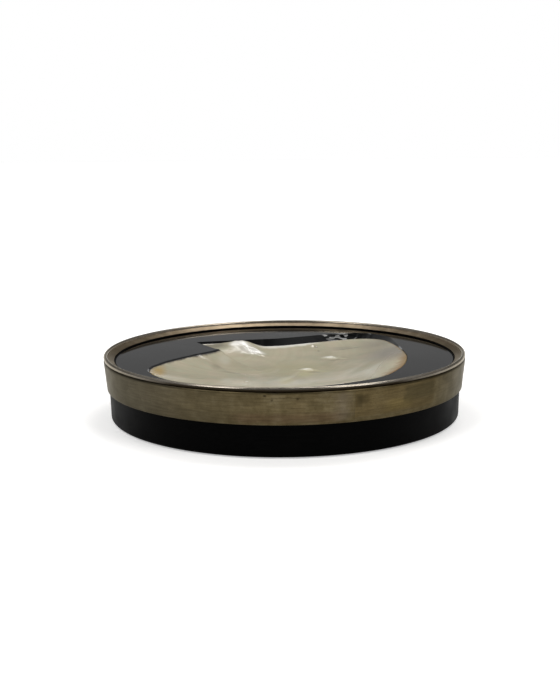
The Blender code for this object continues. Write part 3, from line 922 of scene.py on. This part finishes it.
# Worn silver plate on brass sheet, rubbed by hand: a dull warm metal, clouded and
# speckled, greyer where plating is left, with brown tarnish over the soldered strip.
plate, tree = new_material("worn_silver_plated_brass")
place = add_node(tree, "ShaderNodeTexCoord").outputs["Object"]
axes = add_node(tree, "ShaderNodeSeparateXYZ", {"Vector": place}).outputs
height = axes["Z"]
from_seam = add_node(tree, "ShaderNodeAttribute", attribute_name="from_seam").outputs["Fac"]
along_wall = add_node(tree, "ShaderNodeCombineXYZ", {"X": from_seam, "Y": height})
clouds = add_node(
    tree, "ShaderNodeTexNoise",
    {"Vector": along_wall, "Scale": 1 / PLATE_CLOUD, "Detail": 6.0, "Roughness": 0.65},
)
cloud_colour = add_node(
    tree, "ShaderNodeValToRGB", {"Fac": clouds},
    stops=[(0.3, "#574C33"), (0.5, "#6B5F44"), (0.7, "#7B7056")],
)
speckles = add_node(
    tree, "ShaderNodeTexNoise",
    {"Vector": along_wall, "Scale": 1 / SPECKLE, "Detail": 3.0, "Roughness": 0.7},
)
# Wiping round the band has left faint level streaks
stretched = add_node(tree, "ShaderNodeMapping", {"Vector": along_wall, "Scale": (STREAK_STRETCH, 1.0, 1.0)})
streaks = add_node(tree, "ShaderNodeTexNoise", {"Vector": stretched, "Scale": 1 / STREAK, "Detail": 3.0})
grime = add_node(tree, "ShaderNodeMath", {0: speckles, 1: streaks}, operation="ADD")
grime_tint = add_node(
    tree, "ShaderNodeMapRange",
    {"Value": grime, "From Min": 0.70, "From Max": 1.30, "To Min": 0.50, "To Max": 0.86},
)
# Darker towards the shoulder and just above the foot
level_share = add_node(
    tree, "ShaderNodeMapRange", {"Value": height, "From Min": BAND_FOOT, "From Max": band_high.z},
)
LEVEL_TINTS = (
    (16.9, 0.74), (17.6, 0.74), (18.9, 0.80), (21.2, 0.82), (22.8, 0.92), (25.0, 1.0),
    (28.6, 0.94), (30.9, 0.88), (32.0, 0.95), (33.0, 1.0),
)
band_height = band_high.z - BAND_FOOT
level_tint = add_node(
    tree, "ShaderNodeValToRGB", {"Fac": level_share},
    stops=[((level * MM - BAND_FOOT) / band_height, grey) for level, grey in LEVEL_TINTS],
)


def towards_sides(in_middle, at_sides):
    """A number that changes from the front and back of the tray to its two sides."""
    sideways = add_node(tree, "ShaderNodeMath", {0: axes["X"]}, operation="ABSOLUTE")
    return add_node(
        tree, "ShaderNodeMapRange",
        {"Value": sideways, "From Min": SIDE_FROM, "From Max": SIDE_TO,
         "To Min": in_middle, "To Max": at_sides},
    )


# The plate is evener and darker towards both sides
side_tint = add_node(
    tree, "ShaderNodeMix",
    {MIX_FACTOR: towards_sides(0.0, 0.85), MIX_A: level_tint, MIX_B: colour(SIDE_TINT)},
    data_type="RGBA",
)
tint = add_node(
    tree, "ShaderNodeMath", {0: grime_tint, 1: side_tint.outputs[MIX_RESULT]}, operation="MULTIPLY",
)
# Zones of wear have ragged edges
ragged = add_node(
    tree, "ShaderNodeTexNoise",
    {"Vector": along_wall, "Scale": 1 / RAGGED_SIZE, "Detail": 5.0, "Roughness": 0.7},
)
ragged_step = add_node(
    tree, "ShaderNodeMapRange",
    {"Value": ragged, "From Min": 0.25, "From Max": 0.75,
     "To Min": -RAGGED_DEPTH / 2, "To Max": RAGGED_DEPTH / 2},
)
ragged_past = add_node(tree, "ShaderNodeMath", {0: from_seam, 1: ragged_step}, operation="ADD")
ragged_level = add_node(
    tree, "ShaderNodeMath", {0: ragged_step, 1: RAGGED_LIFT, 2: height}, operation="MULTIPLY_ADD",
)


def wall_zone(past, past_start, past_end, level_start, level_end, softness, strength):
    """Strength in a zone of the wall, given in millimetres, which fades at its edges."""
    share = strength
    level_softness = min(softness, LEVEL_SOFTNESS)
    for value, start, end in (
        (past, past_start, past_start + softness),
        (past, past_end, past_end - softness),
        (ragged_level, level_start, level_start + level_softness),
        (ragged_level, level_end, level_end - level_softness),
    ):
        edge = add_node(
            tree, "ShaderNodeMapRange",
            {"Value": value, "From Min": start * MM, "From Max": end * MM},
        )
        share = add_node(tree, "ShaderNodeMath", {0: edge, 1: share}, operation="MULTIPLY")
    return share


wall_colour = cloud_colour.outputs["Color"]
# Zones of wear, and painted shade in pits and beside a lump: measure, past the seam from and to, level from
# and to, softness, colour, strength
for past, past_start, past_end, level_start, level_end, softness, zone_colour, strength in (
    (ragged_past, -330.0, -80.0, 10.0, 36.0, 60.0, "#76736A", 0.85),
    (ragged_past, 50.0, 330.0, 10.0, 36.0, 40.0, "#757165", 0.85),
    (ragged_past, -12.0, -0.5, 17.5, 33.0, 5.0, "#7F7566", 0.40),
    (ragged_past, -34.0, -22.0, 17.5, 31.0, 5.0, "#746549", 0.35),
    (ragged_past, -170.0, -45.0, 12.0, 36.0, 30.0, "#57503F", 0.50),
    (from_seam, -0.2, 51.5, 19.0, 32.8, 0.8, "#6E5F40", 0.70),
    (ragged_past, 16.0, 36.0, 19.5, 27.0, 5.0, "#7C6C44", 0.55),
    (ragged_past, 28.0, 52.0, 22.5, 32.5, 2.0, "#4F4731", 0.65),
    (from_seam, -0.3, 4.5, 23.5, 31.5, 1.2, "#3A3320", 0.40),
    (ragged_past, -1.0, 9.0, 24.5, 31.0, 3.5, "#342D1C", 0.45),
    (ragged_past, -62.0, -4.0, 17.0, 23.5, 6.0, "#6E5643", 0.35),
    (ragged_past, 40.0, 51.0, 20.0, 24.0, 2.0, "#594C30", 0.45),
    (from_seam, 83.2, 85.6, 32.4, 34.2, 0.5, "#0C0A07", 0.95),
    # Painted shade in two pits and on the shaded side of a lump
    (from_seam, -44.8, -42.6, 31.0, 32.6, 0.7, "#241F13", 0.80),
    (from_seam, -41.1, -39.3, 28.8, 30.2, 0.7, "#241F13", 0.75),
    (from_seam, -29.0, -27.2, 29.4, 31.0, 0.7, "#241F13", 0.70),
    # A scratch
    (from_seam, -40.8, -26.5, 30.2, 30.9, 0.3, "#3A3322", 0.55),
):
    share = wall_zone(past, past_start, past_end, level_start, level_end, softness, strength)
    wear_and_shade_mix = add_node(
        tree, "ShaderNodeMix",
        {MIX_FACTOR: share, MIX_A: wall_colour, MIX_B: colour(zone_colour)},
        data_type="RGBA",
    )
    wall_colour = wear_and_shade_mix.outputs[MIX_RESULT]
# Specks of old polish stick to the whole plate, and most of all to the patch by the seam
SPECKS_EVERYWHERE, SPECKS_ON_PATCH = 0.15, 0.40
patch = wall_zone(from_seam, -0.2, 51.5, 19.0, 34.5, 2.0, SPECKS_ON_PATCH)
speck_strength = add_node(tree, "ShaderNodeMath", {0: patch, 1: SPECKS_EVERYWHERE}, operation="ADD")
is_speck = add_node(tree, "ShaderNodeMapRange", {"Value": speckles, "From Min": 0.52, "From Max": 0.62})
speck = add_node(tree, "ShaderNodeMath", {0: is_speck, 1: speck_strength}, operation="MULTIPLY")
specked = add_node(
    tree, "ShaderNodeMix",
    {MIX_FACTOR: speck, MIX_A: wall_colour, MIX_B: colour("#3A3322")},
    data_type="RGBA",
)
tinted = add_node(
    tree, "ShaderNodeMix",
    {MIX_FACTOR: 1.0, MIX_A: specked.outputs[MIX_RESULT], MIX_B: tint},
    data_type="RGBA", blend_type="MULTIPLY",
)
plate_roughness = add_node(
    tree, "ShaderNodeMapRange",
    {"Value": clouds, "From Min": 0.3, "From Max": 0.7, "To Min": 0.46, "To Max": 0.34},
)
plate_bump = add_node(
    tree, "ShaderNodeBump",
    {"Height": speckles, "Distance": 0.02 * MM, "Strength": 0.4},
)
shader = add_node(
    tree, "ShaderNodeBsdfPrincipled",
    {"Base Color": tinted.outputs[MIX_RESULT], "Metallic": 1.0, "Roughness": plate_roughness,
     "Specular Tint": colour("#DEDAD0"), "Normal": plate_bump},
)
add_node(tree, "ShaderNodeOutputMaterial", {"Surface": shader})


def wall_radius(level):
    """Outer radius of the tapered wall at a level."""
    share = (level - BAND_FOOT) / (shoulder_level - BAND_FOOT)
    return BAND_RADIUS - BAND_TAPER * (1 - min(share, 1.0))


turned_radius = BAND_RADIUS - BAND_TURNED_WIDTH
underside = band_high.z - BAND_THICKNESS
wall_levels = np.linspace(BAND_FOOT + 2 * BAND_EDGE, shoulder_level, WALL_ROWS)
profile = [
    (wall_radius(BAND_FOOT) - BAND_THICKNESS, BAND_FOOT, BAND_EDGE / 2),
    (wall_radius(BAND_FOOT), BAND_FOOT, BAND_EDGE),
    *[(wall_radius(level), level, 0.0) for level in wall_levels],
    (BAND_RADIUS, band_high.z, BAND_SHOULDER),
    (turned_radius, band_high.z, TURNED_EDGE),
    (turned_radius, underside, TURNED_EDGE / 2),
    (wall_radius(underside) - BAND_THICKNESS, underside, BAND_SHOULDER - BAND_THICKNESS),
]
slit = SEAM_WIDTH / BAND_RADIUS
band = turned_piece(
    "wrapped_band", profile, True, BAND_SEGMENTS, plate, SEAM_ANGLE + slit / 2, 2 * math.pi - slit,
)

# Dents and lumps in millimetres: distance past the seam, level, reach, height
dents = [
    (-43.7, 31.8, 0.9, -0.28), (-40.2, 29.5, 0.8, -0.28), (-26.2, 30.2, 1.1, 0.18),
    (-27.9, 30.2, 0.8, -0.12), (84.3, 32.6, 0.8, -0.3),
]
SMALL_DENTS = 46
SMALL_DENT_RANGES = ((-300, 300), (19, 32), (0.6, 1.6), (-0.12, 0.03))
dent_draw = np.random.default_rng(11)
for _ in range(SMALL_DENTS):
    dents.append([dent_draw.uniform(*limits) for limits in SMALL_DENT_RANGES])
# Waves of the sheet in millimetres: height, and how far in they fade from the wall's edges
WAVE_HEIGHT = 0.05
WAVE_FADE = 2.0
LONG_WAVE, SHORT_WAVE = 22.0, 9.0
OUTER_SKIN = 0.3
ONTO_SHOULDER = 0.2
places = np.array([vert.co for vert in band.data.vertices])
radius = np.hypot(places[:, 0], places[:, 1])
angle = (np.arctan2(places[:, 1], places[:, 0]) - SEAM_ANGLE + math.pi) % (2 * math.pi) - math.pi
past_seam_mm = angle * BAND_RADIUS / MM
level_mm = places[:, 2] / MM
shoulder_mm = shoulder_level / MM
is_outside = radius / MM > [wall_radius(level) / MM - OUTER_SKIN for level in places[:, 2]]
is_wall = is_outside & (level_mm < shoulder_mm + ONTO_SHOULDER)
move = np.zeros(len(places))
for past, dent_level, reach, height_mm in dents:
    move += height_mm * np.exp(-((past_seam_mm - past) ** 2 + (level_mm - dent_level) ** 2) / reach ** 2)
wave = smooth_noise(past_seam_mm, level_mm, LONG_WAVE, 9.1)
wave += 0.5 * smooth_noise(past_seam_mm, level_mm * 1.6, SHORT_WAVE, 4.2)
foot_mm = (BAND_FOOT + 2 * BAND_EDGE) / MM
edge_fade = rising(level_mm, foot_mm, foot_mm + WAVE_FADE)
edge_fade *= rising(level_mm, shoulder_mm, shoulder_mm - WAVE_FADE)
move += WAVE_HEIGHT * wave * edge_fade
move *= is_wall * MM
places[:, :2] *= (1 + move / radius)[:, None]
band.data.vertices.foreach_set("co", places.ravel())
band.data.update()
give_values(band.data, "from_seam", past_seam_mm * MM)
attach(band, "root")
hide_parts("band")


# Rim ring: a moulded ring of the same plated brass, laid on the board and on the band's
# turned edge. Its burnished bead is flush with the band, and inside it a hollow corner
# and a slope lead down to the field. It is held by the glue under it.

RING_INNER = RESIN_RADIUS + 0.95 * MM
RING_BEAD = 1.2 * MM
RING_CORNER = 0.12 * MM
RING_HOLLOW = 0.55 * MM
RING_HOLLOW_DEPTH = 0.35 * MM
RING_TONGUE = BAND_TURNED_WIDTH + GLUE_GAP
RING_FOOT = 0.2 * MM
RING_SEGMENTS = 720
BEAD_STEPS = 30
TURNING_LINE = 0.35 * MM
RING_CLOUD = 8 * MM
bead_radius = ring_high.x - RING_BEAD
bead_level = ring_high.z - RING_BEAD
bead_foot_radius = bead_radius - RING_BEAD

# Plated brass, spun and burnished: a silvery bead, and an olive brown slope with fine
# turning lines. Painted shade darkens the hollow corner and the underside of the bead, less towards the
# sides.
burnished, tree = new_material("burnished_plated_brass")
place = add_node(tree, "ShaderNodeTexCoord").outputs["Object"]
axes = add_node(tree, "ShaderNodeSeparateXYZ", {"Vector": place}).outputs
flat_place = add_node(tree, "ShaderNodeVectorMath", {0: place, 1: (1.0, 1.0, 0.0)}, operation="MULTIPLY")
out_from_axis = add_node(tree, "ShaderNodeVectorMath", {0: flat_place}, operation="LENGTH").outputs["Value"]
clouds = add_node(
    tree, "ShaderNodeTexNoise",
    {"Vector": place, "Scale": 1 / RING_CLOUD, "Detail": 5.0, "Roughness": 0.6},
)
slope_colour = add_node(
    tree, "ShaderNodeValToRGB", {"Fac": clouds},
    stops=[(0.3, "#726654"), (0.5, "#847663"), (0.7, "#958773")],
)
bead_colour = add_node(
    tree, "ShaderNodeValToRGB", {"Fac": clouds},
    stops=[(0.3, "#8B8479"), (0.7, "#A29B90")],
)
is_bead = add_node(
    tree, "ShaderNodeMapRange",
    {"Value": out_from_axis, "From Min": bead_foot_radius - 0.15 * MM,
     "From Max": bead_foot_radius + 0.25 * MM},
)
clean_colour = add_node(
    tree, "ShaderNodeMix",
    {MIX_FACTOR: is_bead, MIX_A: slope_colour, MIX_B: bead_colour},
    data_type="RGBA",
)
# Painted shade: darker low on the bead and in the hollow corner, less towards the sides
under_bead = add_node(
    tree, "ShaderNodeMapRange",
    {"Value": axes["Z"], "From Min": bead_level + 0.12 * MM, "From Max": bead_level + 0.50 * MM,
     "To Min": 1.0, "To Max": 0.0},
)
painted_bead_shade_mask = add_node(tree, "ShaderNodeMath", {0: under_bead, 1: is_bead}, operation="MULTIPLY")
painted_bead_shade = add_node(
    tree, "ShaderNodeMath", {0: painted_bead_shade_mask, 1: towards_sides(1.0, 0.2)}, operation="MULTIPLY",
)
ring_colour = add_node(
    tree, "ShaderNodeMix",
    {MIX_FACTOR: painted_bead_shade, MIX_A: clean_colour.outputs[MIX_RESULT], MIX_B: colour("#251F16")},
    data_type="RGBA",
)
turning_lines = add_node(
    tree, "ShaderNodeTexNoise", {"W": out_from_axis, "Scale": 1 / TURNING_LINE, "Detail": 2.0},
    noise_dimensions="1D",
)
ring_bump = add_node(
    tree, "ShaderNodeBump",
    {"Height": turning_lines, "Distance": 0.006 * MM, "Strength": 0.2},
)
ring_roughness = add_node(tree, "ShaderNodeMapRange", {"Value": is_bead, "To Min": 0.30, "To Max": 0.20})
shader = add_node(
    tree, "ShaderNodeBsdfPrincipled",
    {"Base Color": ring_colour.outputs[MIX_RESULT], "Metallic": 1.0, "Roughness": ring_roughness,
     "Specular Tint": colour("#DEDAD0"), "Normal": ring_bump},
)
add_node(tree, "ShaderNodeOutputMaterial", {"Surface": shader})

rebate_level = band_high.z + GLUE_GAP
tongue_radius = ring_high.x - RING_TONGUE
bead_start = -math.asin((bead_level - rebate_level) / RING_BEAD)
bead = []
for step in range(BEAD_STEPS + 1):
    turn = bead_start + (math.pi - bead_start) * step / BEAD_STEPS
    bead.append((bead_radius + RING_BEAD * math.cos(turn), bead_level + RING_BEAD * math.sin(turn), 0.0))
rim_ring = turned_piece(
    "burnished_rim_ring",
    [
        (RING_INNER, ring_low.z, 0.0),
        (tongue_radius, ring_low.z, RING_CORNER),
        (tongue_radius, rebate_level, RING_CORNER / 2),
        *bead,
        (bead_foot_radius, bead_level - RING_HOLLOW_DEPTH, RING_HOLLOW),
        (RING_INNER, ring_low.z + RING_FOOT, RING_CORNER),
    ],
    True, RING_SEGMENTS, burnished,
)
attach(rim_ring, "root")
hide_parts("rim_ring")


# Floor: a white matt sheet under the tray, wide enough to reach the horizon.
# Seen directly or mirrored it is lifted a little, so that it is white and keeps its shadow.

FLOOR_HALF = 12.0
FLOOR_LIFT = 0.40
white_sheet, tree = new_material("white_matt_sheet")
shader = add_node(
    tree, "ShaderNodeBsdfPrincipled",
    {"Base Color": colour(0.97), "Roughness": 0.95, "Specular IOR Level": 0.0},
)
ray = add_node(tree, "ShaderNodeLightPath").outputs
seen = add_node(tree, "ShaderNodeMath", {0: ray["Is Camera Ray"], 1: ray["Is Glossy Ray"]}, operation="ADD")
seen = add_node(
    tree, "ShaderNodeMath", {0: seen, 1: ray["Is Transmission Ray"]}, operation="ADD", use_clamp=True,
)
lift = add_node(tree, "ShaderNodeMath", {0: seen, 1: FLOOR_LIFT}, operation="MULTIPLY")
glow = add_node(tree, "ShaderNodeEmission", {"Strength": lift})
sheet = add_node(tree, "ShaderNodeAddShader", {0: shader, 1: glow})
add_node(tree, "ShaderNodeOutputMaterial", {"Surface": sheet})
corners = [(x * FLOOR_HALF, y * FLOOR_HALF, 0) for x, y in ((-1, -1), (1, -1), (1, 1), (-1, 1))]
floor_mesh = bpy.data.meshes.new("studio_floor")
floor_mesh.from_pydata(corners, [], [(0, 1, 2, 3)])
floor = new_object("studio_floor", floor_mesh)
cover(floor, white_sheet)


# Light: a pale studio that is white low down, grey above that and darkest over the camera,
# with two softboxes left and right of the camera and two lamps high up behind the tray.

studio = bpy.data.worlds.new("pale_studio")
studio.use_nodes = True
tree = studio.node_tree
tree.nodes.clear()
direction = add_node(tree, "ShaderNodeTexCoord").outputs["Generated"]
along = add_node(tree, "ShaderNodeSeparateXYZ", {"Vector": direction}).outputs
# Degrees above the horizon, and the wall's grey there
WALL_LEVELS = (
    (8.0, 1.0), (9.2, 0.25), (13, 0.20), (20, 0.22), (35, 0.34), (60, 0.45), (75, 0.32), (90, 0.15),
)
wall = add_node(
    tree, "ShaderNodeValToRGB", {"Fac": along["Z"]},
    stops=[(math.sin(math.radians(degrees)), grey) for degrees, grey in WALL_LEVELS],
)
over_camera = add_node(
    tree, "ShaderNodeMapRange",
    {"Value": along["Y"], "From Min": -0.35, "From Max": 0.15, "To Min": 0.25, "To Max": 1.0},
)
is_high = add_node(tree, "ShaderNodeMapRange", {"Value": along["Z"], "From Min": 0.5, "From Max": 0.75})
dimmed = add_node(tree, "ShaderNodeMix", {0: is_high, 2: 1.0, 3: over_camera}, data_type="FLOAT")
background = add_node(tree, "ShaderNodeBackground", {"Color": wall, "Strength": dimmed})
add_node(tree, "ShaderNodeOutputWorld", {"Surface": background})
bpy.context.scene.world = studio

LAMP_COLOUR = (1.0, 0.985, 0.96)
# Name, azimuth from the front, elevation, width in degrees, and strength
for lamp_name, lamp_azimuth, lamp_elevation, lamp_width, lamp_strength in (
    ("left_softbox", -55, 50, 24, 0.75),
    ("right_softbox", 57, 50, 24, 0.70),
    ("left_lamp_behind", -150, 64, 22, 0.37),
    ("right_lamp_behind", 150, 64, 24, 0.70),
):
    lamp_data = bpy.data.lights.new(lamp_name, "SUN")
    lamp_data.energy = lamp_strength
    lamp_data.angle = math.radians(lamp_width)
    lamp_data.color = LAMP_COLOUR
    lamp = new_object(lamp_name, lamp_data)
    azimuth, elevation = math.radians(lamp_azimuth), math.radians(lamp_elevation)
    sideways, forwards = math.sin(azimuth), -math.cos(azimuth)
    towards = Vector((
        sideways * math.cos(elevation), forwards * math.cos(elevation), math.sin(elevation),
    ))
    lamp.location = towards
    lamp.rotation_mode = "QUATERNION"
    lamp.rotation_quaternion = towards.to_track_quat("Z", "Y")


# Camera: in front of the tray, 0.60 m from the middle of its underside and 14 degrees above it.
# The photograph's stood a little nearer; from here only the white part of the studio shows.

CAMERA_PLACE = Vector((0.0, -0.5821, 0.1454))
CAMERA_AIM = Vector((-0.0023, 0.0, 0.0419))
CAMERA_ROLL = math.radians(-0.56)
CAMERA_LENS = 56.46
SENSOR_WIDTH = 36.0
camera_data = bpy.data.cameras.new("photo_camera")
camera_data.sensor_width = SENSOR_WIDTH
camera_data.lens = CAMERA_LENS
camera_data.clip_start = 0.01
camera = new_object("photo_camera", camera_data)
camera.location = CAMERA_PLACE
camera.rotation_mode = "QUATERNION"
aimed = (CAMERA_AIM - CAMERA_PLACE).to_track_quat("-Z", "Y")
camera.rotation_quaternion = aimed @ Quaternion((0, 0, 1), CAMERA_ROLL)
bpy.context.scene.camera = camera
bpy.context.scene.view_settings.view_transform = "Standard"
